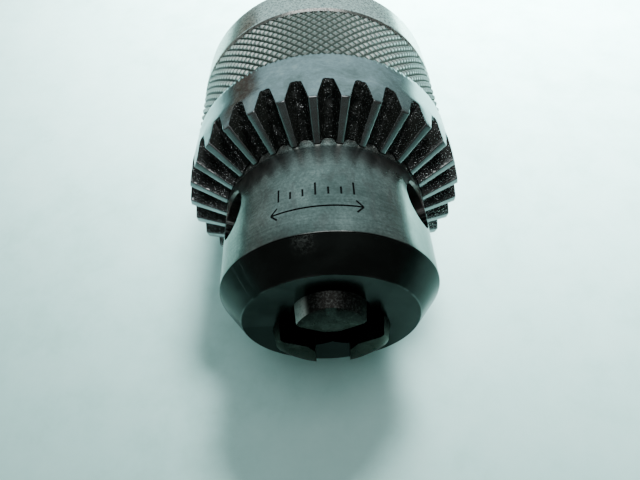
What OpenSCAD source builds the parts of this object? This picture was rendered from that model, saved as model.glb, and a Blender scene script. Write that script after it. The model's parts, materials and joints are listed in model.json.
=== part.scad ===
// Keyed three-jaw drill chuck, 2 to 13 mm, lying on its side.
//
// Row frame: the chuck's axis is the Y axis, the nose points along -Y and +Z is up.
// The origin is on the axis at the rear face, the mouth of the spindle socket.
//
// Every sub-part is drawn with the chuck standing on its rear face, nose up, and then laid
// down by lay_down(). Heights such as front_z are measured from the rear face along the axis.
// The jaws are drawn at rest, open to grip_rest.

/* [Body] */
// Length of the body, from the rear face to the nose face
body_length = 64.7; // [64:0.1:66]
// Diameter of the front cylinder
front_d = 36.2; // [36:0.1:37]
// Diameter of the nose face
nose_face_d = 28.7; // [27:0.1:30]
// Length of the nose chamfer along the axis
nose_chamfer = 4.7; // [4:0.1:5]
// Diameter of the smooth ring behind the sleeve
ring_d = 49.6; // [48.8:0.1:49.8]
// Length of the hub behind the smooth ring
hub_length = 5.8; // [5:0.1:6]
// Diameter of the hub
hub_d = 30; // [26:1:34]
// Length of the smooth ring
ring_length = 8.6; // [8.2:0.1:8.8]
// Diameter of the bore that takes the tool's shank
shank_bore_d = 13.2; // [13.1:0.1:13.4]

/* [Spindle socket] */
// Bore of the 1/2 inch 20 UNF thread
socket_d = 11.5; // [11.3:0.1:11.7]
// Depth of the thread
socket_depth = 16; // [14:0.5:16]
// Diameter of the hole for the machine's retaining screw
screw_hole_d = 6.6; // [6:0.1:7]

/* [Key holes] */
// Diameter of a chuck key's pilot hole
key_hole_d = 8; // [7.5:0.1:8]
// Height of the pilot holes above the rear face
key_hole_z = 48.6; // [48:0.1:49]
// Distance from the chuck's axis to a pilot hole's floor
key_floor_r = 10; // [9.9:0.1:12]

/* [Sleeve] */
// Number of bevel teeth
teeth = 31; // [29:1:33]
// Outer diameter of the toothed ring at the tooth tips
gear_d = 50; // [49.6:0.1:50.4]
// Width of a tooth gap's floor
gap_floor_w = 1.65; // [1.4:0.05:1.8]
// Angle of a tooth flank from the gap's centre plane
flank_angle = 18; // [14:1:20]
// Diameter of the sleeve at its rear edge
sleeve_rear_d = 49.5; // [48.8:0.1:49.6]
// Bore of the sleeve over the body's guide and the nut
sleeve_bore_d = 45.3; // [45.2:0.05:45.4]
// Clearance between the sleeve's bore and the body's guide, on radius
sleeve_play = 0.05; // [0.03:0.01:0.08]

/* [Jaws] */
// Diameter of a jaw's rod
jaw_d = 12; // [11.8:0.1:12]
// Clearance of a jaw in its bore, on radius
jaw_play = 0.05; // [0.03:0.01:0.1]
// Angle between a jaw's rod and the chuck's axis
jaw_angle = 14.5; // [14.3:0.1:14.6]
// Height above the rear face at which the rods' axes meet
jaw_cross_z = 80; // [79.8:0.1:80.2]
// Height of the jaw tips above the rear face, at rest
jaw_tip_z = 68.15; // [68:0.05:69]
// Height of a jaw's rear end above the rear face, at rest
jaw_rear_z = 18.5; // [18.5:0.1:20]
// Width of the flat along a jaw's gripping edge
grip_land_w = 2.4; // [2:0.1:2.6]
// Shank diameter that the jaws hold at rest
grip_rest = 8; // [7.5:0.5:8.5]
// Largest shank diameter
grip_max = 13; // [12.5:0.1:13]
// Smallest shank diameter
grip_min = 2; // [2:0.1:2.5]
// Distance between thread turns, along a rod
thread_pitch = 2.1; // [2:0.05:2.2]

/* [Bearing] */
// Diameter of a ball
ball_d = 2; // [1.8:0.1:2]
// Number of balls
ball_count = 24; // [24:1:24]
// Diameter of the circle through the balls' centres
ball_circle_d = 41.9; // [41.8:0.1:42]

/* [Hidden] */
JAW_NODES = ["jaw_1", "jaw_2", "jaw_3"];
NUT_NODES = ["nut_half_1", "nut_half_2"];
BALL_NODES = [for (i = [1 : ball_count]) str("ball_", i)];

$fn = 96;
cut = 0.01;             // how far a cutter stands past the face it opens
far = 60;               // longer than any section of the chuck
jaw_angles = [90, 210, 330];
key_angles = [30, 150, 270];

// Heights along the axis
ring_gap = 0.2;         // between the smooth ring and the sleeve
ring_front_z = hub_length + ring_length;
groove_rear_z = 21;     // shoulder that carries the rear race
groove_front_z = 36.3;  // rear end of the front cylinder
front_z = body_length - nose_chamfer;
sleeve_rear_z = ring_front_z + ring_gap;
socket_web_z = 22;      // floor of the shank bore
jaw_bore_floor_z = 7;

// Body radii
core_r = 15.5;          // bottom of the nut groove
guide_r = sleeve_bore_d / 2 - sleeve_play;
jaw_bore_ring_r = 23.3; // outer wall of the jaw bores inside the smooth ring
jaw_bore_guide_r = 21.8; // and inside the guide
ring_wall = 0.8;        // left between the jaw bores and the smooth ring's front face
ring_edge = 0.4;        // chamfer on the smooth ring's edges
ring_taper = 0.3;       // by which the smooth ring narrows to its rear, on radius
hub_edge = 0.8;

// Tooth ring, as radius and height: faces of the teeth and floors of the gaps
tooth_inner = [18.35, 42.55];
tooth_outer = [gear_d / 2, 39.8];
floor_inner = [18.4, 41.0];
floor_outer = [24.56, 35.9];
floor_slope = atan2(floor_inner[1] - floor_outer[1], floor_outer[0] - floor_inner[0]);
gap_height = 5;
gap_corner = 0.3;
shoulder_rise = 0.2;    // by which the sleeve is widest just behind the teeth, on radius
shoulder = [gear_d / 2 + shoulder_rise, 35.4];
knurl_front = [24.85, 28.7];
lip_z = 38.1;           // where the sleeve's inner cone meets its front lip
nut_seat_z = 34.5;      // where the sleeve's bore meets its inner cone

// Jaws
jaw_r = jaw_d / 2;
tip_chamfer_r = 7.65;   // edge of the flat tip, from the chuck's axis
tip_chamfer = [1.85, 1];
land_r = grip_rest / 2;
vee_r = land_r - grip_land_w / 2 * tan(30);
close_axial = (grip_rest - grip_min) / 2 / tan(jaw_angle);
open_axial = (grip_max - grip_rest) / 2 / tan(jaw_angle);
crest_depth = 4.2;      // thread crest, from the rod's axis
thread_run_out = 2.2;   // thread in front of the nut groove, with the jaws fully open
thread_lead = 1;        // thread behind a jaw's rear end
thread_front_z = groove_front_z + thread_run_out + open_axial + close_axial;
thread_rear_z = jaw_rear_z + close_axial - thread_lead;
thread_depth = 0.9;
thread_root = 0.5;      // place of a notch's root, as a share of a turn
thread_crest = 0.8;     // place where the next crest starts
thread_step = thread_pitch * cos(jaw_angle);

// Nut
nut_r = sleeve_bore_d / 2;
nut_front_z = 36.1;
nut_rear_z = 25.8;
nut_chamfer_r = 20.75;
nut_play = 0.3;         // between the nut's crests and the jaws' crests, on radius
nut_split = 0.1;        // between the two halves
nut_lead = 0.3;         // flat in front of the nut's first groove

// Bearing
ball_z = 23.4;
race_inner_r = 20;
rear_race_r = 22.4;
front_race_r = 22.6;
groove_play = 0.03;     // of a ball in a race's groove
pocket_play = 0.04;     // of a ball in its cage pocket
race_groove_r = ball_d / 2 + groove_play;
race_face_gap = 0.65;   // from the balls' centres to the faces of the races
cage_half = 0.4;
cage_inner_r = 19.5;
cage_outer_r = 22.35;

// Radius of the jaws' thread crests at height z
function crest_r(z) = (jaw_cross_z - z) * tan(jaw_angle) + crest_depth / cos(jaw_angle);

// Distance of a rod's axis from the chuck's axis at height z
function rod_offset(z) = (jaw_cross_z - z) * tan(jaw_angle);

// Lays the chuck on its side, nose towards -Y
module lay_down() {
    rotate([90, 0, 0]) children();
}

// Turns a child drawn for the direction +X towards the angle a
module facing(a) {
    rotate([0, 0, a]) children();
}

// A rod of radius r along a jaw's axis, between two heights
module jaw_rod(r, z_low, z_high) {
    length = (z_high - z_low) / cos(jaw_angle);
    translate([rod_offset(z_low), 0, z_low]) rotate([0, -jaw_angle, 0]) cylinder(r = r, h = length);
}

// Moves a child forward along a jaw's axis by its distance along the chuck's axis
module along_jaw(axial) {
    translate([-axial * tan(jaw_angle), 0, axial]) children();
}

// Turned outline of the body, without its bores
module body_blank() {
    ring_r = ring_d / 2;
    hub_r = hub_d / 2;
    rotate_extrude() polygon([
        [0, 0],
        [hub_r - hub_edge, 0],
        [hub_r, hub_edge],
        [hub_r, hub_length],
        [ring_r - ring_taper - ring_edge, hub_length],
        [ring_r - ring_taper, hub_length + ring_edge],
        [ring_r, ring_front_z - ring_edge],
        [ring_r - ring_edge, ring_front_z],
        [guide_r, ring_front_z],
        [guide_r, groove_rear_z],
        [core_r, groove_rear_z],
        [core_r, groove_front_z],
        [front_d / 2, groove_front_z],
        [front_d / 2, front_z],
        [nose_face_d / 2, body_length],
        [0, body_length]
    ]);
}

// Space that the jaw bores may take: it keeps a wall under the ring and under the sleeve
module jaw_bore_limit() {
    step_z = ring_front_z - ring_wall;
    rotate_extrude() polygon([
        [0, jaw_bore_floor_z],
        [jaw_bore_ring_r, jaw_bore_floor_z],
        [jaw_bore_ring_r, step_z],
        [jaw_bore_guide_r, step_z],
        [jaw_bore_guide_r, groove_rear_z],
        [far, groove_rear_z],
        [far, jaw_cross_z],
        [0, jaw_cross_z]
    ]);
}

module jaw_bores() {
    intersection() {
        for (a = jaw_angles) facing(a) jaw_rod(jaw_r + jaw_play, 0, jaw_cross_z);
        jaw_bore_limit();
    }
}

// Blind pilot hole for the chuck key, with a broken edge
module key_hole() {
    edge = 0.35;
    mouth_r = front_d / 2;
    translate([key_floor_r, 0, key_hole_z]) rotate([0, 90, 0]) {
        cylinder(d = key_hole_d, h = far);
        translate([0, 0, mouth_r - key_floor_r - edge])
            cylinder(r1 = key_hole_d / 2, r2 = key_hole_d / 2 + 2 * edge, h = 2 * edge);
    }
}

module body() {
    color("#8d9294") lay_down() difference() {
        body_blank();
        jaw_bores();
        for (a = key_angles) facing(a) key_hole();
        translate([0, 0, socket_web_z]) cylinder(d = shank_bore_d, h = far);
        translate([0, 0, -cut]) cylinder(d = screw_hole_d, h = far);
        translate([0, 0, -cut]) cylinder(d = socket_d, h = socket_depth + cut);
    }
}

// Turned outline of the sleeve, before the teeth are cut
module sleeve_blank() {
    bore_r = sleeve_bore_d / 2;
    rear_r = sleeve_rear_d / 2;
    edge = 0.3;
    rotate_extrude() polygon([
        [bore_r + edge, sleeve_rear_z],
        [rear_r - edge, sleeve_rear_z],
        [rear_r, sleeve_rear_z + edge],
        knurl_front,
        shoulder,
        tooth_outer,
        tooth_inner,
        [tooth_inner[0], lip_z],
        [bore_r, nut_seat_z],
        [bore_r, sleeve_rear_z + edge]
    ]);
}

// Cutter for one tooth gap, drawn along its floor
module tooth_gap() {
    half = gap_floor_w / 2;
    top = half + gap_height * tan(flank_angle);
    length = 20;
    translate([floor_outer[0], 0, floor_outer[1]])
        rotate([0, floor_slope, 0])
        rotate([90, 0, 90])
        linear_extrude(length, center = true)
        polygon([
            [gap_corner - half, 0],
            [half - gap_corner, 0],
            [half + gap_corner * tan(flank_angle), gap_corner],
            [top, gap_height],
            [-top, gap_height],
            [-half - gap_corner * tan(flank_angle), gap_corner]
        ]);
}

module sleeve() {
    step = 360 / teeth;
    first = jaw_angles[0] - step / 3;
    color("#a4a9ab") lay_down() difference() {
        sleeve_blank();
        for (i = [0 : teeth - 1]) facing(first + i * step) tooth_gap();
    }
}

// Everything a jaw may fill when the chuck is closed: its threaded end is turned to a cone with
// notches, and in front of that the rod keeps its full section
module thread_envelope() {
    turns = ceil((thread_front_z - thread_rear_z) / thread_step);
    notches = [for (i = [0 : turns - 1]) each
        let (z = thread_rear_z + i * thread_step)
        [
            [crest_r(z), z],
            [crest_r(z) - thread_depth, z + thread_root * thread_step],
            [crest_r(z + thread_crest * thread_step), z + thread_crest * thread_step]
        ]];
    end_z = thread_rear_z + turns * thread_step;
    rotate_extrude() polygon(concat(
        [[0, 0], [crest_r(thread_rear_z), 0]],
        notches,
        [[crest_r(end_z), end_z], [far, end_z], [far, 2 * far], [0, 2 * far]]
    ));
}

// Space cleared between the three gripping faces
module grip_space() {
    rise = far * tan(30);
    linear_extrude(2 * far) polygon([
        [-far, -far],
        [land_r, -far],
        [vee_r + rise, -far],
        [land_r, -grip_land_w / 2],
        [land_r, grip_land_w / 2],
        [vee_r + rise, far],
        [-far, far]
    ]);
}

// The jaw tips' chamfer, turned about the chuck's axis
module tip_limit() {
    rotate_extrude() polygon([
        [0, jaw_rear_z],
        [far, jaw_rear_z],
        [far, jaw_tip_z - tip_chamfer[1]],
        [tip_chamfer_r + tip_chamfer[0], jaw_tip_z - tip_chamfer[1]],
        [tip_chamfer_r, jaw_tip_z],
        [0, jaw_tip_z]
    ]);
}

module jaw(index) {
    color("#7d8482") lay_down() facing(jaw_angles[index]) difference() {
        intersection() {
            jaw_rod(jaw_r, 0, jaw_cross_z);
            tip_limit();
            along_jaw(-close_axial) thread_envelope();
        }
        grip_space();
    }
}

// Turned outline of the nut, with its inner thread as grooves
module nut_blank() {
    turns = floor((nut_front_z - nut_rear_z) / thread_step);
    crests = [for (i = [0 : turns - 1]) each
        let (z = nut_front_z - nut_lead - i * thread_step)
        [
            [crest_r(z) + nut_play, z],
            [crest_r(z) + nut_play + thread_depth, z - thread_root * thread_step],
            [crest_r(z - thread_crest * thread_step) + nut_play, z - thread_crest * thread_step]
        ]];
    rotate_extrude() polygon(concat(
        [
            [crest_r(nut_rear_z) + nut_play, nut_rear_z],
            [nut_r, nut_rear_z],
            [nut_r, nut_seat_z],
            [nut_chamfer_r, nut_front_z],
            [crest_r(nut_front_z) + nut_play, nut_front_z]
        ],
        crests
    ));
}

module nut_half(index) {
    color("#6f7375") lay_down() facing(180 * index) intersection() {
        nut_blank();
        translate([nut_split / 2, -far, 0]) cube([far, 2 * far, far]);
    }
}

// One bearing race; side is +1 for the front race and -1 for the rear one
module race(side, outer_r, outer_z) {
    face_z = ball_z + side * race_face_gap;
    rotate_extrude() difference() {
        translate([race_inner_r, min(face_z, outer_z)])
            square([outer_r - race_inner_r, abs(outer_z - face_z)]);
        translate([ball_circle_d / 2, ball_z]) circle(r = race_groove_r);
    }
}

module rear_race() {
    color("#9aa0a3") lay_down() race(-1, rear_race_r, groove_rear_z);
}

module front_race() {
    color("#9aa0a3") lay_down() race(1, front_race_r, nut_rear_z);
}

// Centre of ball i, from 1
module at_ball(i) {
    facing((i - 0.5) * 360 / ball_count) translate([ball_circle_d / 2, 0, ball_z]) children();
}

module cage() {
    pocket_r = ball_d / 2 + pocket_play;
    color("#b09a5c") lay_down() difference() {
        translate([0, 0, ball_z - cage_half]) difference() {
            cylinder(r = cage_outer_r, h = 2 * cage_half);
            translate([0, 0, -cut]) cylinder(r = cage_inner_r, h = 2 * cage_half + 2 * cut);
        }
        for (i = [1 : ball_count]) at_ball(i) cylinder(r = pocket_r, h = 4 * cage_half, center = true);
    }
}

module ball(i) {
    color("#c3c8ca") lay_down() at_ball(i) sphere(d = ball_d, $fn = 32);
}

body();
sleeve();
for (i = [0 : 2]) jaw(i);
for (i = [0 : 1]) nut_half(i);
rear_race();
front_race();
cage();
for (i = [1 : ball_count]) ball(i);
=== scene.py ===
"""Keyed three-jaw drill chuck on a pale surface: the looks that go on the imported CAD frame.

Lengths are written in millimetres and turned into metres by MM. A place on the chuck is given as
(radius, angle, height): the angle is in degrees, 0 at +X and 90 straight up, and the height is
measured from the rear face towards the nose, so row Y is minus the height.
"""
import json
import math

import bmesh
import bpy
from mathutils import Matrix, Vector, noise


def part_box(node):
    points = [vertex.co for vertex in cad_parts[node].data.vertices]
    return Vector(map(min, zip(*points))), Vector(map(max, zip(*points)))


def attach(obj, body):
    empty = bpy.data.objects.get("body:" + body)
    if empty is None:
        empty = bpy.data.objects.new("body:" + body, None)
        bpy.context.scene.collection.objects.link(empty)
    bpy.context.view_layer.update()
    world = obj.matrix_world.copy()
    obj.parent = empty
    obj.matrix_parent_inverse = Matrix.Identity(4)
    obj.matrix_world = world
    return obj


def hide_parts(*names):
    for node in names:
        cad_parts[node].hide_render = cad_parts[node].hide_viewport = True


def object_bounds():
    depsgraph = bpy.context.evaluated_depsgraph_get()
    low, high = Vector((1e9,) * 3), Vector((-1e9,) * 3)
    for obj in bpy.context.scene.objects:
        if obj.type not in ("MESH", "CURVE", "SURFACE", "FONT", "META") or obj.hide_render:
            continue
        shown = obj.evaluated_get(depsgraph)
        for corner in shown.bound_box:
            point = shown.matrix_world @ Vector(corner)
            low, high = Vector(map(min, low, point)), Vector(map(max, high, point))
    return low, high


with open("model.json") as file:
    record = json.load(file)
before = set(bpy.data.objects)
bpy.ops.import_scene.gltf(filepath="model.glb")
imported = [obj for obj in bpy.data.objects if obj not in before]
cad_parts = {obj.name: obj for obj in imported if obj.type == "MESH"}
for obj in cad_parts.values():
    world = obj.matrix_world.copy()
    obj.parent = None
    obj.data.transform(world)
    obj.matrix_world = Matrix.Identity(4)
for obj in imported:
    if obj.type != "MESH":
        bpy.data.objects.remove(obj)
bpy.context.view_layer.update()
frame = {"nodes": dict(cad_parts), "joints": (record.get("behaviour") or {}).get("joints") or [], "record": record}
MM = 0.001

# ---------------------------------------------------------------- places read from the frame
MOUNTS = {m["name"]: m for m in frame["record"]["mounts"]}
JOINTS = {j["name"]: j for j in frame["joints"]}
JAWS = ("jaw_1", "jaw_2", "jaw_3")
KEY_HOLES = ("key_hole_1", "key_hole_2", "key_hole_3")


def height_span(node):
    """Lowest and highest height of a CAD node, in millimetres."""
    low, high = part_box(node)
    return -high.y / MM, -low.y / MM


BODY_LENGTH = height_span("body")[1]
SLEEVE_REAR = height_span("sleeve")[0]
JAW_REAR, JAW_TIP = height_span("jaw_1")
FLOOR_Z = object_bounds()[0].z
SOCKET_R = MOUNTS["spindle_socket"]["dims"]["r_mm"]
SOCKET_DEPTH = MOUNTS["spindle_socket"]["dims"]["length_mm"]
KEY_R = MOUNTS["key_hole_1"]["dims"]["r_mm"]
KEY_HEIGHT = -MOUNTS["key_hole_1"]["pos_m"][1] / MM

# ---------------------------------------------------------------- sizes of the chuck
FRONT_R = 18.1
FRONT_END = 60.0
FRONT_ROWS = 14             # rings of faces along the front cylinder
NOSE_R = 14.35
RING_R = 24.85
RING_REAR = 5.8
RING_FRONT = 14.4
HUB_R = 15.0
GUIDE_R = 22.6
GROOVE = (21.0, 36.3)
CORE_R = 15.5
SHANK_R = 6.6
SHANK_FLOOR = 22.0
SCREW_R = 3.3
KEY_FLOOR_R = 10.0
BORE_FLOOR = 7.0            # where the jaws' bores stop behind the ring
BORE_RING_R = 23.3          # how far out they reach under the ring
BORE_GUIDE_R = 21.8         # and under the sleeve's guide
STROKE_WIDTH = 0.3
STROKE_DEPTH = 0.14
BORE_WALL = 0.8             # metal left at the ring's front face
FAR_R = 45.0                # past every piece
FAR_HEIGHT = 100.0
FINE_COLUMNS = 160

JAW_R = 6.0
JAW_BORE_R = 6.05
JAW_CROSS = 80.0
JAW_ANGLE = math.acos(-JOINTS["jaw_1_slide"]["axis"][1])
LAND_R = 4.0
LAND_HALF = 1.2
TIP_EDGE_R = 7.65
TIP_CHAMFER = (1.85, 1.0)
CREST_DEPTH = 4.2
THREAD_PITCH = 2.1
CLOSE_AXIAL = 3.0 / math.tan(JAW_ANGLE)
OPEN_AXIAL = 2.5 / math.tan(JAW_ANGLE)
THREAD_RUN_OUT = 2.2        # thread in front of the nut's groove with the jaws fully open
THREAD_DEPTH = 0.9

TEETH = 31
TOOTH_INNER = (18.2, 42.6)
TOOTH_OUTER = (25.0, 39.8)
FLOOR_INNER = (18.2, 41.1)
FLOOR_OUTER = (25.0, 35.54)
GAP_TOP = (2.72, 3.75)      # width of a gap between the tooth faces, inner and outer end
GAP_FLOOR = (1.3, 1.65)     # width of its floor
FIRST_GAP = 86.2            # angle of the gap nearest the top
SLEEVE_BORE_R = 22.65
KNURL_COUNT = 86
KNURL_FRONT = 28.6
KNURL_DEPTH = 0.42
SLEEVE_OUTLINE = (          # height and radius behind the teeth
    (SLEEVE_REAR, 24.72),
    (KNURL_FRONT, 24.86),
    (32.0, 24.97),
    (35.4, 25.18),
    (TOOTH_OUTER[1], 25.0),
)


# ---------------------------------------------------------------- mesh helpers
def blend(pair, t):
    return pair[0] + (pair[1] - pair[0]) * t


def place(radius, angle, height):
    """Row-frame point, in metres, for a place on the chuck."""
    a = math.radians(angle)
    return Vector((radius * math.cos(a), -height, radius * math.sin(a))) * MM


def new_object(name, mesh):
    piece = bpy.data.objects.new(name, mesh)
    bpy.context.scene.collection.objects.link(piece)
    return piece


def object_from(mesh, name):
    """Turns a finished bmesh into an object and frees it."""
    data = bpy.data.meshes.new(name)
    mesh.to_mesh(data)
    mesh.free()
    return new_object(name, data)


def revolve(name, outline, columns=256):
    """Closed solid of revolution about the chuck's axis. outline holds (radius, height) pairs; a
    radius of 0 is a pole."""
    mesh = bmesh.new()
    rows = []
    for radius, height in outline:
        if radius == 0:
            rows.append([mesh.verts.new(place(0, 0, height))])
        else:
            places = [place(radius, 360 * i / columns, height) for i in range(columns)]
            rows.append([mesh.verts.new(point) for point in places])
    for low, high in zip(rows, rows[1:] + rows[:1]):
        for i in range(columns):
            j = (i + 1) % columns
            if len(low) == 1 and len(high) == 1:
                break
            if len(low) == 1:
                mesh.faces.new((low[0], high[j], high[i]))
            elif len(high) == 1:
                mesh.faces.new((low[i], low[j], high[0]))
            else:
                mesh.faces.new((low[i], low[j], high[j], high[i]))
    bmesh.ops.recalc_face_normals(mesh, faces=mesh.faces)
    return object_from(mesh, name)


def rod(name, start, end, radius, columns=128, end_radius=None):
    """Round bar or cone between two row-frame points in metres; radius is in millimetres."""
    mesh = bmesh.new()
    axis = end - start
    bmesh.ops.create_cone(
        mesh,
        cap_ends=True,
        segments=columns,
        radius1=radius * MM,
        radius2=(radius if end_radius is None else end_radius) * MM,
        depth=axis.length,
    )
    turn = axis.to_track_quat("Z", "Y").to_matrix().to_4x4()
    mesh.transform(Matrix.Translation((start + end) / 2) @ turn)
    return object_from(mesh, name)


def prism(name, corners, low, high, turn=0.0):
    """Prism along the chuck's axis. corners holds (along, across) pairs in millimetres, drawn for
    the direction at angle 0 and turned by turn degrees."""
    mesh = bmesh.new()
    c, s = math.cos(math.radians(turn)), math.sin(math.radians(turn))
    rings = []
    for height in (low, high):
        points = [Vector((u * c - v * s, -height, u * s + v * c)) * MM for u, v in corners]
        rings.append([mesh.verts.new(point) for point in points])
    mesh.faces.new(rings[0])
    mesh.faces.new(rings[1])
    for i in range(len(corners)):
        j = (i + 1) % len(corners)
        mesh.faces.new((rings[0][i], rings[0][j], rings[1][j], rings[1][i]))
    bmesh.ops.recalc_face_normals(mesh, faces=mesh.faces)
    return object_from(mesh, name)


def apply_modifiers(piece):
    """Bakes a piece's modifiers into its mesh."""
    graph = bpy.context.evaluated_depsgraph_get()
    data = bpy.data.meshes.new_from_object(piece.evaluated_get(graph))
    piece.modifiers.clear()
    piece.data = data


def combine(piece, tools, operation):
    """Cuts a piece by each tool, or keeps only what they share, and removes the tools."""
    for tool in tools:
        step = piece.modifiers.new("combine", "BOOLEAN")
        step.operation = operation
        step.solver = "MANIFOLD"
        step.object = tool
        apply_modifiers(piece)
    for tool in tools:
        bpy.data.objects.remove(tool)


def break_edges(piece, width):
    """Small round on every sharp edge, with smooth shading between."""
    bevel = piece.modifiers.new("edges", "BEVEL")
    bevel.width = width * MM
    bevel.segments = 2
    bevel.limit_method = "ANGLE"
    bevel.angle_limit = math.radians(30)
    bevel.use_clamp_overlap = True
    apply_modifiers(piece)
    smooth(piece)
    piece.modifiers.new("normals", "WEIGHTED_NORMAL").keep_sharp = True
    apply_modifiers(piece)


def smooth(piece, angle=40):
    """Smooth shading, with a crease where two faces meet at more than the angle."""
    piece.data.shade_smooth()
    piece.data.set_sharp_from_angle(angle=math.radians(angle))


# ---------------------------------------------------------------- body
def rod_offset(height):
    """Distance of a jaw rod's axis from the chuck's axis."""
    return (JAW_CROSS - height) * math.tan(JAW_ANGLE)


def jaw_direction(index):
    return 90 + 120 * index


def slanted_rod(name, index, low, radius):
    """Round bar along a jaw's axis, from height low to where the jaws' axes cross."""
    angle = jaw_direction(index)
    start = place(rod_offset(low), angle, low)
    end = place(rod_offset(JAW_CROSS), angle, JAW_CROSS)
    return rod(name, start, end, radius, FINE_COLUMNS)


def body_outline():
    """Turned outline of the body, with its edges broken."""
    cylinder = (GROOVE[1], FRONT_END - 0.12)
    return [
        (0, 0),
        (HUB_R - 0.8, 0),
        (HUB_R, 0.8),
        (HUB_R, RING_REAR - 0.3),
        (HUB_R + 0.3, RING_REAR),
        (RING_R - 0.85, RING_REAR),
        (RING_R - 0.45, RING_REAR + 0.15),
        (RING_R - 0.3, RING_REAR + 0.55),
        (RING_R - 0.05, RING_FRONT - 0.65),
        (RING_R - 0.12, RING_FRONT - 0.38),
        (RING_R - 0.48, RING_FRONT - 0.02),
        (RING_R - 0.6, RING_FRONT),
        (GUIDE_R, RING_FRONT),
        (GUIDE_R, GROOVE[0]),
        (CORE_R, GROOVE[0]),
        (CORE_R, GROOVE[1]),
        *((FRONT_R, blend(cylinder, k / FRONT_ROWS)) for k in range(FRONT_ROWS + 1)),
        (FRONT_R - 0.1, FRONT_END + 0.08),
        (NOSE_R + 0.12, BODY_LENGTH - 0.14),
        (NOSE_R - 0.06, BODY_LENGTH),
        (0, BODY_LENGTH),
    ]


def jaw_bore(index):
    """Inclined bore for one jaw, kept inside the walls under the ring and under the sleeve."""
    bore = slanted_rod("bore", index, 0.0, JAW_BORE_R)
    limit = revolve("limit", [
        (0, BORE_FLOOR),
        (BORE_RING_R, BORE_FLOOR),
        (BORE_RING_R, RING_FRONT - BORE_WALL),
        (BORE_GUIDE_R, RING_FRONT - BORE_WALL),
        (BORE_GUIDE_R, GROOVE[0]),
        (FAR_R, GROOVE[0]),
        (FAR_R, JAW_CROSS),
        (0, JAW_CROSS),
    ])
    combine(bore, [limit], "INTERSECT")
    return bore


def key_hole_tools(name):
    """The pilot hole and its broken edge."""
    out = Vector(MOUNTS[name]["axis"])
    level = Vector((0, -KEY_HEIGHT * MM, 0))

    def at(radius):
        return level + out * radius * MM

    hole = rod("hole", at(KEY_FLOOR_R), at(FRONT_R + 2), KEY_R, 128)
    rim = rod("rim", at(FRONT_R - 0.75), at(FRONT_R + 0.25), KEY_R - 0.2, 128, KEY_R + 0.55)
    return [hole, rim]


def stroke(start, end):
    """Cutter for one engraved line on the front cylinder, between two (angle, height) places."""
    steps = max(2, round(abs(end[0] - start[0])))
    half = STROKE_WIDTH / 2
    bottom, above = FRONT_R - STROKE_DEPTH, FRONT_R + 0.4
    arc = FRONT_R * math.radians(1)
    across = Vector((end[1] - start[1], -(end[0] - start[0]) * arc)).normalized() * half
    mesh = bmesh.new()
    rows = []
    for i in range(steps + 1):
        t = i / steps
        angle = start[0] + (end[0] - start[0]) * t
        height = start[1] + (end[1] - start[1]) * t
        row = []
        for side, radius in ((1, bottom), (-1, bottom), (-1, above), (1, above)):
            corner = place(radius, angle + side * across.x / arc, height + side * across.y)
            row.append(mesh.verts.new(corner))
        rows.append(row)
    mesh.faces.new(rows[0])
    mesh.faces.new(rows[-1])
    for low, high in zip(rows, rows[1:]):
        for i in range(4):
            j = (i + 1) % 4
            mesh.faces.new((low[i], low[j], high[j], high[i]))
    bmesh.ops.recalc_face_normals(mesh, faces=mesh.faces)
    return object_from(mesh, "stroke")


def turn_mark():
    """Generic engraving: a line with an arrow at each end, for open and close, and index ticks."""
    middle, level = 94.0, 55.4
    reach, head_angle, head_height = 22.0, 3.4, 1.1
    tick_step, tick_gap, long_tick, short_tick = 6, 2.2, 2.4, 1.4
    marks = [((middle - reach, level), (middle + reach, level))]
    for side in (-1, 1):
        tip = middle + side * reach
        for lift in (-1, 1):
            marks.append(((tip, level), (tip - side * head_angle, level + lift * head_height)))
    for i in range(-3, 4):
        length = long_tick if i % 3 == 0 else short_tick
        angle, top = middle + tick_step * i, level - tick_gap
        marks.append(((angle, top), (angle, top - length)))
    return [stroke(a, b) for a, b in marks]


def make_body():
    piece = revolve("body_turned", body_outline())
    tools = [jaw_bore(i) for i in range(3)]
    tools.append(rod("shank", place(0, 0, SHANK_FLOOR), place(0, 0, BODY_LENGTH + 5), SHANK_R, FINE_COLUMNS))
    tools.append(rod("screw", place(0, 0, -2), place(0, 0, SHANK_FLOOR + 2), SCREW_R, 96))
    tools.append(rod("socket", place(0, 0, -2), place(0, 0, SOCKET_DEPTH), SOCKET_R, 128))
    for name in KEY_HOLES:
        tools += key_hole_tools(name)
    tools += turn_mark()
    combine(piece, tools, "DIFFERENCE")
    break_edges(piece, 0.07)
    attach(piece, "chuck_body")
    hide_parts("body")
    return piece


# ---------------------------------------------------------------- jaws
def crest_radius(height):
    """Radius of the jaws' thread crests, about the chuck's axis."""
    return rod_offset(height) + CREST_DEPTH / math.cos(JAW_ANGLE)


def thread_limit(index):
    """What a jaw may fill at rest: a notched cone at its rear end, and all of the rod in front."""
    step = THREAD_PITCH * math.cos(JAW_ANGLE)
    low = JAW_REAR + CLOSE_AXIAL - 1
    front = GROOVE[1] + THREAD_RUN_OUT + OPEN_AXIAL + CLOSE_AXIAL
    turns = math.ceil((front - low) / step)
    outline = [(0, 0), (crest_radius(low), 0)]
    for i in range(turns):
        z = low + i * step
        outline += [
            (crest_radius(z), z),
            (crest_radius(z) - THREAD_DEPTH, z + 0.5 * step),
            (crest_radius(z + 0.8 * step), z + 0.8 * step),
        ]
    end = low + turns * step
    outline += [(crest_radius(end), end), (FAR_R, end), (FAR_R, FAR_HEIGHT), (0, FAR_HEIGHT)]
    limit = revolve("limit", outline)
    back = CLOSE_AXIAL / math.cos(JAW_ANGLE)
    limit.data.transform(Matrix.Translation(-jaw_axis(index) * back * MM))
    return limit


def jaw_axis(index):
    return Vector(JOINTS[JAWS[index] + "_slide"]["axis"])


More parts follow.
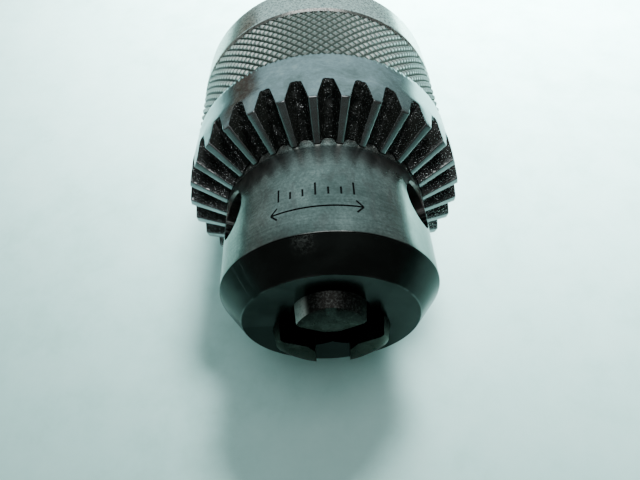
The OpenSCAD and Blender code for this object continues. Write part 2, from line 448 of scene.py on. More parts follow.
def mark_rod(piece, index):
    """Face attribute: 1 on the round outside of a jaw, 0 on its ground faces."""
    start = place(rod_offset(0), jaw_direction(index), 0)
    along = jaw_axis(index)
    layer = piece.data.attributes.new("rod", "FLOAT", "FACE")
    for face in piece.data.polygons:
        arm = face.center - start
        distance = (arm - along * arm.dot(along)).length / MM
        layer.data[face.index].value = 1.0 if distance > JAW_R - 0.03 else 0.0


def make_jaw(index):
    piece = slanted_rod(JAWS[index] + "_ground", index, 5.0, JAW_R)
    tip = revolve("tip", [
        (0, JAW_REAR),
        (FAR_R, JAW_REAR),
        (FAR_R, JAW_TIP - TIP_CHAMFER[1]),
        (TIP_EDGE_R + TIP_CHAMFER[0], JAW_TIP - TIP_CHAMFER[1]),
        (TIP_EDGE_R, JAW_TIP),
        (0, JAW_TIP),
    ])
    combine(piece, [thread_limit(index), tip], "INTERSECT")
    reach = 30
    slope = math.tan(math.radians(30))
    corner = LAND_R - LAND_HALF * slope + reach * slope
    outline = [
        (-reach, -reach),
        (corner, -reach),
        (LAND_R, -LAND_HALF),
        (LAND_R, LAND_HALF),
        (corner, reach),
        (-reach, reach),
    ]
    grip = prism("grip", outline, 0, FAR_HEIGHT, jaw_direction(index))
    combine(piece, [grip], "DIFFERENCE")
    break_edges(piece, 0.12)
    mark_rod(piece, index)
    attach(piece, JAWS[index])
    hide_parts(JAWS[index])
    return piece


# ---------------------------------------------------------------- sleeve
def outer_radius(height):
    """Outer surface of the sleeve behind the teeth."""
    for (z0, r0), (z1, r1) in zip(SLEEVE_OUTLINE, SLEEVE_OUTLINE[1:]):
        if height <= z1:
            return r0 + (r1 - r0) * max(0.0, (height - z0) / (z1 - z0))
    return SLEEVE_OUTLINE[-1][1]


def gap_section(t):
    """Half of one gap at t, 0 at the inner end of the teeth and 1 at the outer end, as
    (distance from the gap's centre, height above its floor), with round corners. The last point,
    the middle of the tooth's face, is left out."""
    floor_half = blend(GAP_FLOOR, t) / 2
    top_half = blend(GAP_TOP, t) / 2
    depth = blend((TOOTH_INNER[1], TOOTH_OUTER[1]), t) - blend((FLOOR_INNER[1], FLOOR_OUTER[1]), t)
    flank = Vector((top_half - floor_half, depth)).normalized()
    low = Vector((floor_half, 0)) + flank * 0.32
    high = Vector((top_half, depth)) - flank * 0.13
    points = [
        (0, 0),
        (0.3 * floor_half, 0),
        (0.6 * floor_half, 0),
        (floor_half - 0.08, 0.07),
        tuple(low),
    ]
    points += [tuple(low.lerp(high, k / 5)) for k in range(1, 5)]
    points += [tuple(high), (top_half + 0.04, depth - 0.03), (top_half + 0.16, depth)]
    return points, depth


def grease(angle, radius, share):
    """Thickness of the grease at a place in a gap; share is the height up the flank, 0 to 1."""
    spot = place(radius, angle, 0) * 1000
    lumps = 0.5 + 0.5 * noise.noise(spot * 0.9) + 0.35 * noise.noise(spot * 2.3)
    return 0.5 * max(0.0, lumps) * (1 - share) ** 1.5


def gear_row(t, drop=0.0, radius=None):
    """One ring of the teeth at t, lowered by drop, as (angle, radius, height, grease mask)."""
    own_radius = blend((TOOTH_INNER[0], TOOTH_OUTER[0]), t)
    radius = own_radius if radius is None else radius
    half, depth = gap_section(min(max(t, 0.0), 1.0))
    floor = blend((FLOOR_INNER[1], FLOOR_OUTER[1]), t)
    pitch = 360 / TEETH
    ring = []
    for tooth in range(TEETH):
        centre = FIRST_GAP + tooth * pitch
        side = [(-x, h) for x, h in reversed(half[1:])] + half
        for x, h in side:
            angle = centre + math.degrees(x / own_radius)
            share = min(1.0, h / depth)
            fat = grease(angle, own_radius, share) if h < depth - 0.05 else 0.0
            ring.append((angle, radius, floor + h + fat - drop, 1.0 - share))
        ring.append((centre + pitch / 2, radius, floor + depth - drop, 0.0))
    return ring


def even_row(count, radius, height, start=0.0):
    return [(start + 360 * i / count, radius, height, 0.0) for i in range(count)]


def add_row(mesh, layers, row):
    """Adds one ring of vertices; the grease layer holds how greasy each one is."""
    verts = []
    for angle, radius, height, greasy in row:
        vert = mesh.verts.new(place(radius, angle, height))
        vert[layers["grease"]] = greasy
        verts.append(vert)
    return verts


def join_rows(mesh, low, high):
    for i in range(len(low)):
        j = (i + 1) % len(low)
        mesh.faces.new((low[i], low[j], high[j], high[i]))


def zip_rows(mesh, low, high):
    """Joins two rings of different counts with triangles. Both start at the same angle."""
    i = j = 0
    while i < len(low) or j < len(high):
        next_low = (i + 1) / len(low) if i < len(low) else 2
        next_high = (j + 1) / len(high) if j < len(high) else 2
        a, b = low[i % len(low)], high[j % len(high)]
        if next_low <= next_high:
            mesh.faces.new((a, low[(i + 1) % len(low)], b))
            i += 1
        else:
            mesh.faces.new((a, high[(j + 1) % len(high)], b))
            j += 1


def knurl_height(column, row, cells):
    """Height of the knurl at a grid place, from 0 at a diamond's flat tip to -1 in a groove."""
    u = abs((column + cells) % (2 * cells) - cells) / cells
    v = abs((row + cells) % (2 * cells) - cells) / cells
    level = min(u + v, 2 - u - v)
    return -max(0.0, (level - 0.3) / 0.7) ** 0.9


def add_knurl(mesh, layers, front, rear, cells=4):
    """Rows of the diamond knurl, from its front edge to its rear edge."""
    columns = KNURL_COUNT * 2 * cells
    pitch = 2 * math.pi * outer_radius(KNURL_FRONT) / KNURL_COUNT * 1.05
    count = round((front - rear) / pitch * 2 * cells)
    rows = []
    grid = []
    for j in range(count + 1):
        height = front + (rear - front) * j / count
        verts = []
        levels = []
        for i in range(columns):
            level = knurl_height(i, j, cells)
            radius = outer_radius(height) + level * KNURL_DEPTH
            vert = mesh.verts.new(place(radius, 360 * i / columns, height))
            vert[layers["recess"]] = -level
            verts.append(vert)
            levels.append(level)
        rows.append(verts)
        grid.append(levels)
    for j in range(count):
        for i in range(columns):
            k = (i + 1) % columns
            a, b, c, d = rows[j][i], rows[j][k], rows[j + 1][k], rows[j + 1][i]
            if abs(grid[j][i] - grid[j + 1][k]) < 1e-6:
                mesh.faces.new((a, b, c))
                mesh.faces.new((a, c, d))
            else:
                mesh.faces.new((a, b, d))
                mesh.faces.new((b, c, d))
    return rows[0], rows[-1]


def blended_row(first, share, radius, height):
    """Ring behind the teeth whose places run from the teeth's uneven ones to even ones."""
    count = len(first)
    ring = []
    for i in range(count):
        even = first[0][0] + 360 * i / count
        ring.append((first[i][0] + (even - first[i][0]) * share, radius, height, 0.0))
    return ring


def make_sleeve():
    mesh = bmesh.new()
    layers = {
        "grease": mesh.verts.layers.float.new("grease"),
        "recess": mesh.verts.layers.float.new("recess"),
    }
    stations = 26
    teeth = []
    for drop in (1.0, 0.4, 0.12):
        teeth.append(gear_row(0.0, drop))
    teeth.append(gear_row(0.004))
    teeth += [gear_row(k / stations) for k in range(1, stations)]
    teeth.append(gear_row(0.985))
    edge = gear_row(1.0)
    outer = TOOTH_OUTER[0]
    teeth.append([(a, outer - 0.03, h - 0.03, g) for a, _, h, g in edge])
    base = 34.9
    for share in (0.04, 0.25, 0.5, 0.75):
        ring = []
        for a, _, h, _ in edge:
            height = h - 0.12 - (h - 0.12 - base) * share
            ring.append((a, outer_radius(height), height, 0.0))
        teeth.append(ring)
    for share, height in ((0.0, base), (0.15, 34.2), (0.4, 33.2), (0.7, 32.0), (1.0, 30.6)):
        teeth.append(blended_row(edge, share, outer_radius(height), height))
    first_angle = edge[0][0]
    lip_r = TOOTH_INNER[0]
    lip = [even_row(len(edge), lip_r, height, first_angle) for height in (38.1, 39.0)]
    lip.append(blended_row(edge, 0.5, lip_r, 39.3))
    rows = [add_row(mesh, layers, row) for row in lip + teeth]
    for low, high in zip(rows, rows[1:]):
        join_rows(mesh, low, high)

    front, rear = KNURL_FRONT, SLEEVE_REAR + 0.28
    columns = KNURL_COUNT * 8
    heights = (30.2, 29.4, front + 0.12)
    smooth_rows = [add_row(mesh, layers, even_row(columns, outer_radius(z), z)) for z in heights]
    start = round((0 - first_angle) / 360 * len(edge)) % len(edge)
    zip_rows(mesh, rows[-1][start:] + rows[-1][:start], smooth_rows[0])
    for low, high in zip(smooth_rows, smooth_rows[1:]):
        join_rows(mesh, low, high)
    knurl_start, knurl_end = add_knurl(mesh, layers, front, rear)
    join_rows(mesh, smooth_rows[-1], knurl_start)
    inner = [
        (24.2, SLEEVE_REAR + 0.03),
        (24.1, SLEEVE_REAR),
        (SLEEVE_BORE_R + 0.35, SLEEVE_REAR),
        (SLEEVE_BORE_R, SLEEVE_REAR + 0.35),
        (SLEEVE_BORE_R, 34.5),
    ]
    inside = [add_row(mesh, layers, even_row(columns, *ring)) for ring in inner]
    join_rows(mesh, knurl_end, inside[0])
    for low, high in zip(inside, inside[1:]):
        join_rows(mesh, low, high)
    zip_rows(mesh, inside[-1], rows[0][start:] + rows[0][:start])
    bmesh.ops.recalc_face_normals(mesh, faces=mesh.faces)
    piece = object_from(mesh, "sleeve_ring")
    smooth(piece, 38)
    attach(piece, "sleeve")
    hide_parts("sleeve")
    return piece


body_piece = make_body()
jaw_pieces = [make_jaw(i) for i in range(3)]
sleeve_piece = make_sleeve()


# ---------------------------------------------------------------- node helpers
def node(tree, kind, inputs=(), **settings):
    """Adds a node. inputs maps a socket's name or number to a value or to another node's output."""
    made = tree.nodes.new(kind)
    for key, value in settings.items():
        setattr(made, key, value)
    for key, value in dict(inputs).items():
        if isinstance(value, bpy.types.NodeSocket):
            tree.links.new(value, made.inputs[key])
        else:
            made.inputs[key].default_value = value
    return made


def compute(tree, operation, *values):
    """Result of a Math node."""
    made = node(tree, "ShaderNodeMath", dict(enumerate(values)), operation=operation)
    return made.outputs[0]


def product(tree, *values):
    result = values[0]
    for value in values[1:]:
        result = compute(tree, "MULTIPLY", result, value)
    return result


def total(tree, *values):
    result = values[0]
    for value in values[1:]:
        result = compute(tree, "ADD", result, value)
    return result


def band(tree, value, start, end):
    """Soft step of a value, from 0 at start to 1 at end."""
    made = node(
        tree,
        "ShaderNodeMapRange",
        {"Value": value, "From Min": start, "From Max": end},
        interpolation_type="SMOOTHSTEP",
    )
    return made.outputs["Result"]


def distance(tree, value, centre):
    return compute(tree, "ABSOLUTE", compute(tree, "SUBTRACT", value, centre))


def near(tree, value, centre, inner, outer):
    """1 within inner of a centre, falling to 0 at outer."""
    return band(tree, distance(tree, value, centre), outer, inner)


def invert(tree, value):
    return compute(tree, "SUBTRACT", 1.0, value)


def paint(tree, share, under, over):
    """Colour over another one, by a share from 0 to 1."""
    made = node(tree, "ShaderNodeMix", data_type="RGBA")
    for key, value in ((0, share), (6, under), (7, over)):
        if isinstance(value, bpy.types.NodeSocket):
            tree.links.new(value, made.inputs[key])
        elif key == 0:
            made.inputs[key].default_value = value
        else:
            made.inputs[key].default_value = (*value, 1)
    return made.outputs[2]


def shade(tree, share, low, high):
    """Number from low to high, by a share from 0 to 1."""
    made = node(tree, "ShaderNodeMapRange", {"Value": share, "To Min": low, "To Max": high})
    return made.outputs["Result"]


def ramp(tree, factor, stops):
    """Colour ramp over (position, colour) stops."""
    made = node(tree, "ShaderNodeValToRGB", {0: factor})
    elements = made.color_ramp.elements
    while len(elements) > 1:
        elements.remove(elements[-1])
    for i, (position, colour) in enumerate(stops):
        element = elements[0] if i == 0 else elements.new(position)
        element.position = position
        element.color = (*colour, 1)
    return made.outputs["Color"]


def cloud(tree, vector, scale, detail, roughness, distortion=0.0):
    inputs = {
        "Vector": vector,
        "Scale": scale,
        "Detail": detail,
        "Roughness": roughness,
        "Distortion": distortion,
    }
    return node(tree, "ShaderNodeTexNoise", inputs).outputs["Fac"]


def attribute(tree, name):
    return node(tree, "ShaderNodeAttribute", attribute_name=name).outputs["Fac"]


class Place:
    """Where a point of the surface is on the chuck, as sockets in millimetres and degrees."""

    def __init__(self, tree):
        self.tree = tree
        coords = node(tree, "ShaderNodeTexCoord").outputs["Object"]
        scaled = node(tree, "ShaderNodeVectorMath", {0: coords, 3: 1 / MM}, operation="SCALE")
        self.point = scaled.outputs["Vector"]
        split = node(tree, "ShaderNodeSeparateXYZ", {0: self.point})
        x, y, z = split.outputs
        self.height = compute(tree, "MULTIPLY", y, -1.0)
        flat = node(tree, "ShaderNodeCombineXYZ", {0: x, 2: z}).outputs[0]
        self.radius = node(tree, "ShaderNodeVectorMath", {0: flat}, operation="LENGTH").outputs["Value"]
        self.angle = compute(tree, "DEGREES", compute(tree, "ARCTAN2", z, x))
        self.outward = node(tree, "ShaderNodeVectorMath", {0: flat}, operation="NORMALIZE").outputs["Vector"]

    def stretched(self, around, along):
        """Point for a texture whose grain is around marks to a radian and along marks to a
        millimetre of outline."""
        tree = self.tree
        run = total(tree, product(tree, self.radius, 0.83), self.height)
        shift = node(tree, "ShaderNodeCombineXYZ", {1: product(tree, run, along)}).outputs[0]
        turn = node(tree, "ShaderNodeVectorMath", {0: self.outward, 3: around}, operation="SCALE")
        added = node(tree, "ShaderNodeVectorMath", {0: turn.outputs["Vector"], 1: shift})
        return added.outputs["Vector"]


def new_material(name):
    """A material, its node tree, its shader and the places on the chuck."""
    material = bpy.data.materials.new(name)
    material.use_nodes = True
    tree = material.node_tree
    return material, tree, tree.nodes["Principled BSDF"], Place(tree)


def finish_surface(tree, shader, colour, roughness, relief, depth, metallic=1.0):
    """Wires the shader. relief is a height from 0 to 1 and depth its size in millimetres."""
    tree.links.new(colour, shader.inputs["Base Color"])
    tree.links.new(roughness, shader.inputs["Roughness"])
    if isinstance(metallic, bpy.types.NodeSocket):
        tree.links.new(metallic, shader.inputs["Metallic"])
    else:
        shader.inputs["Metallic"].default_value = metallic
    bump = node(tree, "ShaderNodeBump", {"Height": relief, "Distance": depth * MM, "Strength": 1.0})
    tree.links.new(bump.outputs["Normal"], shader.inputs["Normal"])


def turning_marks(tree, spot, pitch=0.35):
    """Fine rings left by the lathe, broken up along their length."""
    return cloud(tree, spot.stretched(1.6, 1 / pitch), 1.0, 5.0, 0.62)


def set_material(piece, material):
    piece.data.materials.clear()
    piece.data.materials.append(material)


# ---------------------------------------------------------------- steels
TOP = 92.0                  # angle of the line along the top of the chuck, as it lies
RING_TO_BODY = (16.0, 15.0)  # heights over which the body's colour gives way to the ring's
# Near-black of oil in the bores; it also stands in for the shade inside them.
BORE_OIL_AND_SHADE = (0.006, 0.006, 0.006)


def painted_right_shade(tree, spot, start, full):
    """Mask of the painted shade on the right of the chuck, from angle start downwards, full at angle full."""
    return product(tree, band(tree, spot.angle, start, full), band(tree, spot.angle, -60.0, -30.0))


def rear_film(tree, patches, on_rear, colour):
    """Cloudy dark film over a rear face."""
    share = product(tree, on_rear, shade(tree, patches, 0.4, 1.0))
    return paint(tree, share, colour, (0.10, 0.10, 0.096))


def body_steel():
    """Grey turned steel: brown grime by the teeth, a black nose, oil in the bores that also paints their shade,
    and painted shade on the ring's sides, the right side and the nose's underside.
    """
    material, tree, shader, spot = new_material("body_steel")
    marks = turning_marks(tree, spot)
    patches = cloud(tree, spot.point, 0.16, 4.0, 0.6, 0.4)
    specks = cloud(tree, spot.point, 2.2, 6.0, 0.74)
    blots = cloud(tree, spot.stretched(6.0, 0.16), 1.0, 5.0, 0.66, 0.5)
    grain = total(
        tree,
        product(tree, patches, 0.38),
        product(tree, specks, 0.42),
        product(tree, marks, 0.2),
    )
    bare = ramp(tree, grain, [
        (0.4, (0.115, 0.138, 0.13)),
        (0.5, (0.185, 0.21, 0.2)),
        (0.6, (0.29, 0.315, 0.3)),
    ])
    ring = ramp(tree, grain, [
        (0.38, (0.18, 0.207, 0.21)),
        (0.5, (0.24, 0.275, 0.283)),
        (0.64, (0.31, 0.345, 0.353)),
    ])
    on_ring = band(tree, spot.height, *RING_TO_BODY)
    colour = paint(tree, on_ring, bare, ring)
    side = distance(tree, spot.angle, TOP)
    # Painted shade: the ring's sides away from the top, and the whole right side of the body, get a darker colour.
    ring_side_shade = product(tree, on_ring, band(tree, side, 14.0, 34.0), 0.7)
    right_shade = product(tree, painted_right_shade(tree, spot, 62.0, 40.0), 0.6)
    darkening = compute(tree, "MAXIMUM", ring_side_shade, right_shade)
    colour = paint(tree, darkening, colour, (0.11, 0.124, 0.12))
    colour = rear_film(tree, patches, band(tree, spot.height, 0.5, 0.3), colour)

    rubbed = product(tree, band(tree, spot.height, 43.3, 42.7), band(tree, specks, 0.3, 0.6))
    colour = paint(tree, rubbed, colour, (0.85, 0.87, 0.82))
    front_edge = total(tree, spot.height, product(tree, blots, 9.0))
    rear_edge = total(tree, spot.height, product(tree, specks, 1.6))
    grime = product(
        tree,
        band(tree, front_edge, 53.6, 48.6),
        band(tree, rear_edge, 43.2, 44.8),
        shade(tree, band(tree, side, 8.0, 34.0), 0.5, 1.0),
    )
    dirt = ramp(tree, blots, [
        (0.34, (0.062, 0.052, 0.052)),
        (0.5, (0.125, 0.102, 0.1)),
        (0.66, (0.21, 0.178, 0.162)),
    ])
    colour = paint(tree, product(tree, grime, 0.88), colour, dirt)
    stain = product(tree, band(tree, blots, 0.52, 0.66), band(tree, spot.height, 44.0, 47.0), 0.35)
    colour = paint(tree, stain, colour, (0.12, 0.10, 0.098))

    black = band(tree, spot.height, FRONT_END + 0.1, FRONT_END + 0.2)
    scratches = cloud(tree, spot.stretched(14.0, 0.35), 1.0, 8.0, 0.75, 0.4)
    smudge = product(
        tree,
        near(tree, spot.angle, 101.0, 1.0, 8.0),
        band(tree, spot.height, 63.0, 60.4),
        band(tree, specks, 0.4, 0.66),
    )
    wide_streak = near(tree, spot.angle, 137.0, 0.4, 2.0)
    thin_streak = near(tree, spot.angle, 143.0, 0.3, 1.5)
    streak = product(
        tree,
        total(tree, wide_streak, thin_streak),
        band(tree, spot.radius, NOSE_R + 0.1, NOSE_R + 1.2),
        band(tree, scratches, 0.4, 0.62),
        0.35,
    )
    scuffs = compute(tree, "MAXIMUM", smudge, streak)
    scuffs = total(tree, scuffs, band(tree, scratches, 0.68, 0.8))
    oxide = ramp(tree, patches, [(0.35, (0.028, 0.032, 0.03)), (0.65, (0.048, 0.056, 0.053))])
    # Painted shade: the black oxide is darker everywhere below 45 degrees (right side and underside), fading out
    # by 75 degrees.
    nose_lower_right_shade = product(tree, band(tree, spot.angle, 75.0, 45.0), 0.45)
    oxide = paint(tree, nose_lower_right_shade, oxide, (0.005, 0.006, 0.006))
    oxide = paint(tree, product(tree, scuffs, 0.35), oxide, (0.36, 0.4, 0.38))
    nose_edge = near(tree, spot.radius, NOSE_R + 0.02, 0.03, 0.16)
    worn = product(tree, nose_edge, band(tree, patches, 0.3, 0.6), 0.4)
    oxide = paint(tree, worn, oxide, (0.2, 0.23, 0.22))
    colour = paint(tree, black, colour, oxide)

    engraving = product(
        tree,
        band(tree, spot.radius, FRONT_R - 0.03, FRONT_R - 0.08),
        band(tree, spot.radius, 17.4, 17.6),
        band(tree, spot.height, 49.0, 49.5),
        invert(tree, black),
    )
    colour = paint(tree, engraving, colour, (0.01, 0.01, 0.01))
    # Near-black oil colour inside the bores, which also serves as painted shade in them.
    bore_oil_and_shade = product(tree, band(tree, spot.radius, 7.6, 7.2), band(tree, spot.height, 64.6, 64.3))
    colour = paint(tree, product(tree, bore_oil_and_shade, 0.95), colour, BORE_OIL_AND_SHADE)

    roughness = total(
        tree,
        shade(tree, marks, 0.14, 0.27),
        product(tree, grime, 0.16),
        product(tree, scuffs, black, 0.25),
    )
    relief = total(tree, marks, product(tree, specks, 0.6))
    finish_surface(tree, shader, colour, roughness, relief, 0.004)
    shader.inputs["Specular Tint"].default_value = (0.57, 0.6, 0.59, 1)
    return material


def sleeve_steel():
    """Satin steel, with dirt in the knurl, black grease with metal flakes between the teeth, and painted shade on
    the right side.
    """
    material, tree, shader, spot = new_material("sleeve_steel")
    recess = attribute(tree, "recess")
    greasy = attribute(tree, "grease")
    marks = turning_marks(tree, spot)
    patches = cloud(tree, spot.point, 0.13, 5.0, 0.62, 0.8)
    specks = cloud(tree, spot.point, 1.3, 6.0, 0.72)
    grain = total(tree, product(tree, patches, 0.65), product(tree, specks, 0.35))
    bare = ramp(tree, grain, [
        (0.38, (0.21, 0.232, 0.235)),
        (0.47, (0.28, 0.31, 0.315)),
        (0.54, (0.33, 0.372, 0.395)),
        (0.64, (0.44, 0.475, 0.48)),
    ])
    tooth_faces = product(
        tree,
        band(tree, spot.height, 39.3, TOOTH_OUTER[1]),
        band(tree, spot.radius, TOOTH_OUTER[0], TOOTH_OUTER[0] - 0.1),
    )
    colour = paint(tree, product(tree, tooth_faces, 0.5), bare, (0.2, 0.2, 0.19))

    knurl = product(
        tree,
        band(tree, spot.height, KNURL_FRONT, KNURL_FRONT - 0.2),
        band(tree, spot.height, SLEEVE_REAR, SLEEVE_REAR + 0.4),
        band(tree, spot.radius, 24.0, 24.1),
    )
    colour = paint(tree, product(tree, knurl, 0.8), colour, (0.6, 0.67, 0.63))
    # Painted shade: the right side of the sleeve gets a darker colour.
    darkening = product(tree, painted_right_shade(tree, spot, 72.0, 48.0), 0.7)
    colour = paint(tree, darkening, colour, (0.13, 0.145, 0.142))
    on_rear = band(tree, spot.height, SLEEVE_REAR + 0.25, SLEEVE_REAR + 0.1)
    colour = rear_film(tree, patches, on_rear, colour)
    valley = band(tree, total(tree, recess, product(tree, specks, 0.16)), 0.36, 0.72)
    colour = paint(tree, valley, colour, (0.036, 0.054, 0.046))

    side = distance(tree, spot.angle, TOP)
    reach = shade(tree, band(tree, side, 34.0, 58.0), 3.4, 0.9)
    blotch = product(tree, compute(tree, "SUBTRACT", specks, 0.5), 1.1)
    smear = total(tree, product(tree, greasy, reach), blotch)
    coat = product(tree, band(tree, smear, 0.0, 0.14), band(tree, greasy, 0.0, 0.08))
    colour = paint(tree, coat, colour, (0.006, 0.007, 0.006))

    cells = node(tree, "ShaderNodeTexVoronoi", {"Vector": spot.point, "Scale": 6.4})
    pick = node(tree, "ShaderNodeSeparateColor", {0: cells.outputs["Color"]}).outputs[0]
    within = band(tree, cells.outputs["Distance"], 0.46, 0.34)
    flakes = product(tree, coat, band(tree, pick, 0.8, 0.84), within)
    colour = paint(tree, flakes, colour, (0.62, 0.66, 0.66))

    coated = compute(tree, "MAXIMUM", coat, product(tree, valley, 0.75))
    metal = compute(tree, "MAXIMUM", invert(tree, coated), flakes)
    roughness = total(
        tree,
        shade(tree, specks, 0.08, 0.28),
        product(tree, valley, 0.25),
        product(tree, knurl, 0.16),
    )
    lumps = cloud(tree, spot.point, 2.6, 4.0, 0.6)
    tilt = product(tree, pick, flakes, 2.0)
    fine = product(tree, total(tree, marks, product(tree, specks, 0.5)), 0.06, invert(tree, knurl))
    relief = total(tree, fine, product(tree, lumps, coat), tilt)
    finish_surface(tree, shader, colour, roughness, relief, 0.12, metal)
    shader.inputs["Specular Tint"].default_value = (0.55, 0.59, 0.59, 1)
    return material


def jaw_steel():
    """Ground hardened steel, dark with oil, with bright rubbed patches, and painted shade on the lower jaws and on
    the parts behind the nose face.
    """
    material, tree, shader, spot = new_material("jaw_steel")
    patches = cloud(tree, spot.point, 0.5, 5.0, 0.65, 0.5)
    specks = cloud(tree, spot.point, 3.0, 6.0, 0.7)
    squeezed = {0: spot.point, 1: (1.2, 7.0, 1.2)}
    across = node(tree, "ShaderNodeVectorMath", squeezed, operation="MULTIPLY").outputs["Vector"]
    strokes = cloud(tree, across, 1.0, 4.0, 0.6)
    grain = total(tree, product(tree, patches, 0.6), product(tree, specks, 0.4))
    colour = ramp(tree, grain, [
        (0.38, (0.02, 0.022, 0.019)),
        (0.52, (0.034, 0.037, 0.033)),
        (0.66, (0.07, 0.076, 0.068)),
    ])
    round_side = attribute(tree, "rod")
    wiped = near(tree, spot.angle, 124.0, 8.0, 16.0)
    colour = paint(tree, product(tree, wiped, round_side), colour, (0.6, 0.64, 0.61))
    oily = product(tree, round_side, invert(tree, product(tree, wiped, 0.9)))
    colour = paint(tree, oily, colour, (0.012, 0.012, 0.011))
    flecks = product(tree, round_side, band(tree, specks, 0.44, 0.7), 0.5)
    colour = paint(tree, flecks, colour, (0.1, 0.11, 0.105))
    # Painted shade: the jaws in the lower half of the chuck get darker.
    lower_jaw_shade = band(tree, compute(tree, "SINE", compute(tree, "RADIANS", spot.angle)), 0.1, -0.1)
    colour = paint(tree, product(tree, lower_jaw_shade, 0.25), colour, (0.005, 0.007, 0.005))
    # Painted shade: near-black over the jaws behind the nose face, inside the body.
    inside = band(tree, spot.height, 65.5, 62.5)
    colour = paint(tree, product(tree, inside, 0.9), colour, (0.01, 0.01, 0.01))
    roughness = total(tree, shade(tree, grain, 0.16, 0.42), product(tree, round_side, 0.15))
    finish_surface(tree, shader, colour, roughness, total(tree, strokes, specks), 0.006)
    shader.inputs["Specular Tint"].default_value = (0.55, 0.59, 0.56, 1)
    return material


def inner_metal(name, dark, light, rough_low, rough_high, pitch, depth):
    """Metal of an inner piece: rings left by turning or rolling, and a film of grease in patches."""
    material, tree, shader, spot = new_material(name)
    marks = turning_marks(tree, spot, pitch)
    patches = cloud(tree, spot.point, 0.35, 4.0, 0.6, 0.5)
    colour = paint(tree, band(tree, marks, 0.3, 0.7), dark, light)
    darkening = product(tree, band(tree, patches, 0.5, 0.7), 0.55)
    colour = paint(tree, darkening, colour, tuple(0.25 * part for part in dark))
    finish_surface(tree, shader, colour, shade(tree, patches, rough_low, rough_high), marks, depth)
    return material


INNER_METALS = {
    "nut_half": inner_metal("nut_steel", (0.16, 0.165, 0.16), (0.3, 0.31, 0.305), 0.28, 0.5, 0.3, 0.01),
    "race": inner_metal("race_steel", (0.42, 0.43, 0.44), (0.6, 0.615, 0.62), 0.14, 0.3, 0.12, 0.003),
    "cage": inner_metal("cage_brass", (0.4, 0.29, 0.12), (0.68, 0.53, 0.27), 0.25, 0.42, 0.4, 0.006),
    "ball": inner_metal("ball_steel", (0.56, 0.57, 0.58), (0.74, 0.76, 0.77), 0.07, 0.18, 0.08, 0.001),
}
set_material(body_piece, body_steel())
set_material(sleeve_piece, sleeve_steel())
jaw_finish = jaw_steel()
for jaw_piece in jaw_pieces:
    set_material(jaw_piece, jaw_finish)
for name, cad_node in frame["nodes"].items():
    for family, finish in INNER_METALS.items():
        if family in name:
            set_material(cad_node, finish)


# ---------------------------------------------------------------- floor, light and camera
def floor_paint():
    """Pale painted board, a little cloudy, with faint rubbed marks."""
    material, tree, shader, spot = new_material("floor_paint")
    broad = cloud(tree, spot.point, 0.012, 4.0, 0.6, 0.6)
    mottle = cloud(tree, spot.point, 0.11, 6.0, 0.68)
    grain = total(tree, product(tree, broad, 0.5), product(tree, mottle, 0.5))
    colour = ramp(tree, grain, [
        (0.36, (0.34, 0.62, 0.58)),
        (0.5, (0.41, 0.71, 0.675)),
        (0.64, (0.46, 0.76, 0.725)),
    ])
    finish_surface(tree, shader, colour, shade(tree, mottle, 0.42, 0.62), mottle, 0.05, 0.0)
    return material


def make_floor():
    mesh = bmesh.new()
    bmesh.ops.create_grid(mesh, x_segments=2, y_segments=2, size=1.5)
    floor = object_from(mesh, "floor")
    floor.location.z = FLOOR_Z - 0.00005
    set_material(floor, floor_paint())


def make_camera():
    """Camera above the nose. The chuck is turned a little about its own axis under it."""
    elevation, azimuth, turn = 53.551, -2.238, 2.5
    distance, right_shift, up_shift = 80.935, -1.642, 9.513
    focal_px, width_px, sensor = 486.78, 640, 36.0
    e, a = math.radians(elevation), math.radians(azimuth)
    back = Vector((math.sin(a) * math.cos(e), -math.cos(a) * math.cos(e), math.sin(e)))
    right = Vector((math.cos(a), math.sin(a), 0))
    up = back.cross(right)
    spot = back * distance + right * right_shift + up * up_shift
    basis = Matrix((right, up, back)).transposed().to_4x4()
    data = bpy.data.cameras.new("camera")
    data.sensor_width = sensor
    data.lens = focal_px / width_px * sensor
    data.clip_start = 0.005
    data.clip_end = 20
    camera = new_object("camera", data)
    centre = Matrix.Translation(place(0, 0, FRONT_END))
    roll = Matrix.Rotation(math.radians(turn), 4, "Y")
    camera.matrix_world = centre @ roll @ Matrix.Translation(spot * MM) @ basis
    bpy.context.scene.camera = camera


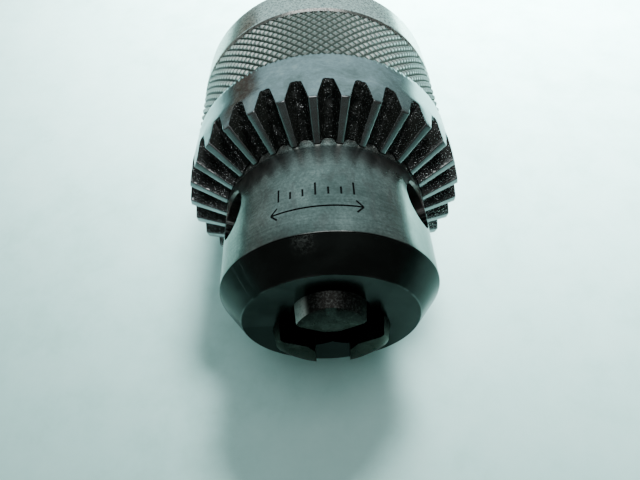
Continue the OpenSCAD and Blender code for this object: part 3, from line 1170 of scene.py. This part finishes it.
def add_lamp(name, kind, location, target, power, **settings):
    """Lamp at a row-frame point, in metres, aimed at another one."""
    data = bpy.data.lights.new(name, kind)
    data.energy = power
    for key, value in settings.items():
        setattr(data, key, value)
    lamp = new_object(name, data)
    lamp.location = location
    lamp.rotation_mode = "QUATERNION"
    lamp.rotation_quaternion = (Vector(target) - Vector(location)).to_track_quat("-Z", "Y")
    return lamp


def sky_point(azimuth, elevation):
    """Direction in the room: azimuth from the chuck's rear towards +X, in degrees."""
    a, e = math.radians(azimuth), math.radians(elevation)
    return (math.sin(a) * math.cos(e), math.cos(a) * math.cos(e), math.sin(e))


def make_world():
    """Room around the chuck: a light wall behind, darker at the sides and dark in front, with one
    warm-coloured patch."""
    world = bpy.data.worlds.new("room")
    bpy.context.scene.world = world
    world.use_nodes = True
    tree = world.node_tree
    gaze = node(tree, "ShaderNodeTexCoord").outputs["Generated"]

    def patch(direction, outer, inner):
        inputs = {0: gaze, 1: sky_point(*direction)}
        facing = node(tree, "ShaderNodeVectorMath", inputs, operation="DOT_PRODUCT").outputs["Value"]
        return band(tree, facing, math.cos(math.radians(outer)), math.cos(math.radians(inner)))

    colour = (0.12, 0.13, 0.124)
    for direction, outer, inner, light in (
        ((0, 75), 60, 10, (0.17, 0.215, 0.21)),
        ((70, 5), 46, 10, (0.34, 0.42, 0.41)),
        ((-70, 5), 46, 10, (0.36, 0.44, 0.42)),
        ((0, 18), 56, 20, (0.76, 1.08, 1.09)),
        ((-34, 7), 12, 7, (0.2, 0.145, 0.11)),
    ):
        colour = paint(tree, patch(direction, outer, inner), colour, light)
    background = tree.nodes["Background"]
    tree.links.new(colour, background.inputs["Color"])
    background.inputs["Strength"].default_value = 1.0


make_floor()
make_camera()
make_world()
key_lamp = add_lamp(
    "key_lamp",
    "SPOT",
    (0.08, 0.185, 0.3),
    (0.075, 0.175, 0),
    118,
    spot_size=math.radians(78),
    spot_blend=0.9,
    shadow_soft_size=0.09,
)
key_lamp.visible_glossy = False
add_lamp(
    "ceiling_panel",
    "AREA",
    (0, -0.16, 0.8),
    (0, -0.16, 0),
    2.4,
    shape="RECTANGLE",
    size=0.6,
    size_y=0.5,
)
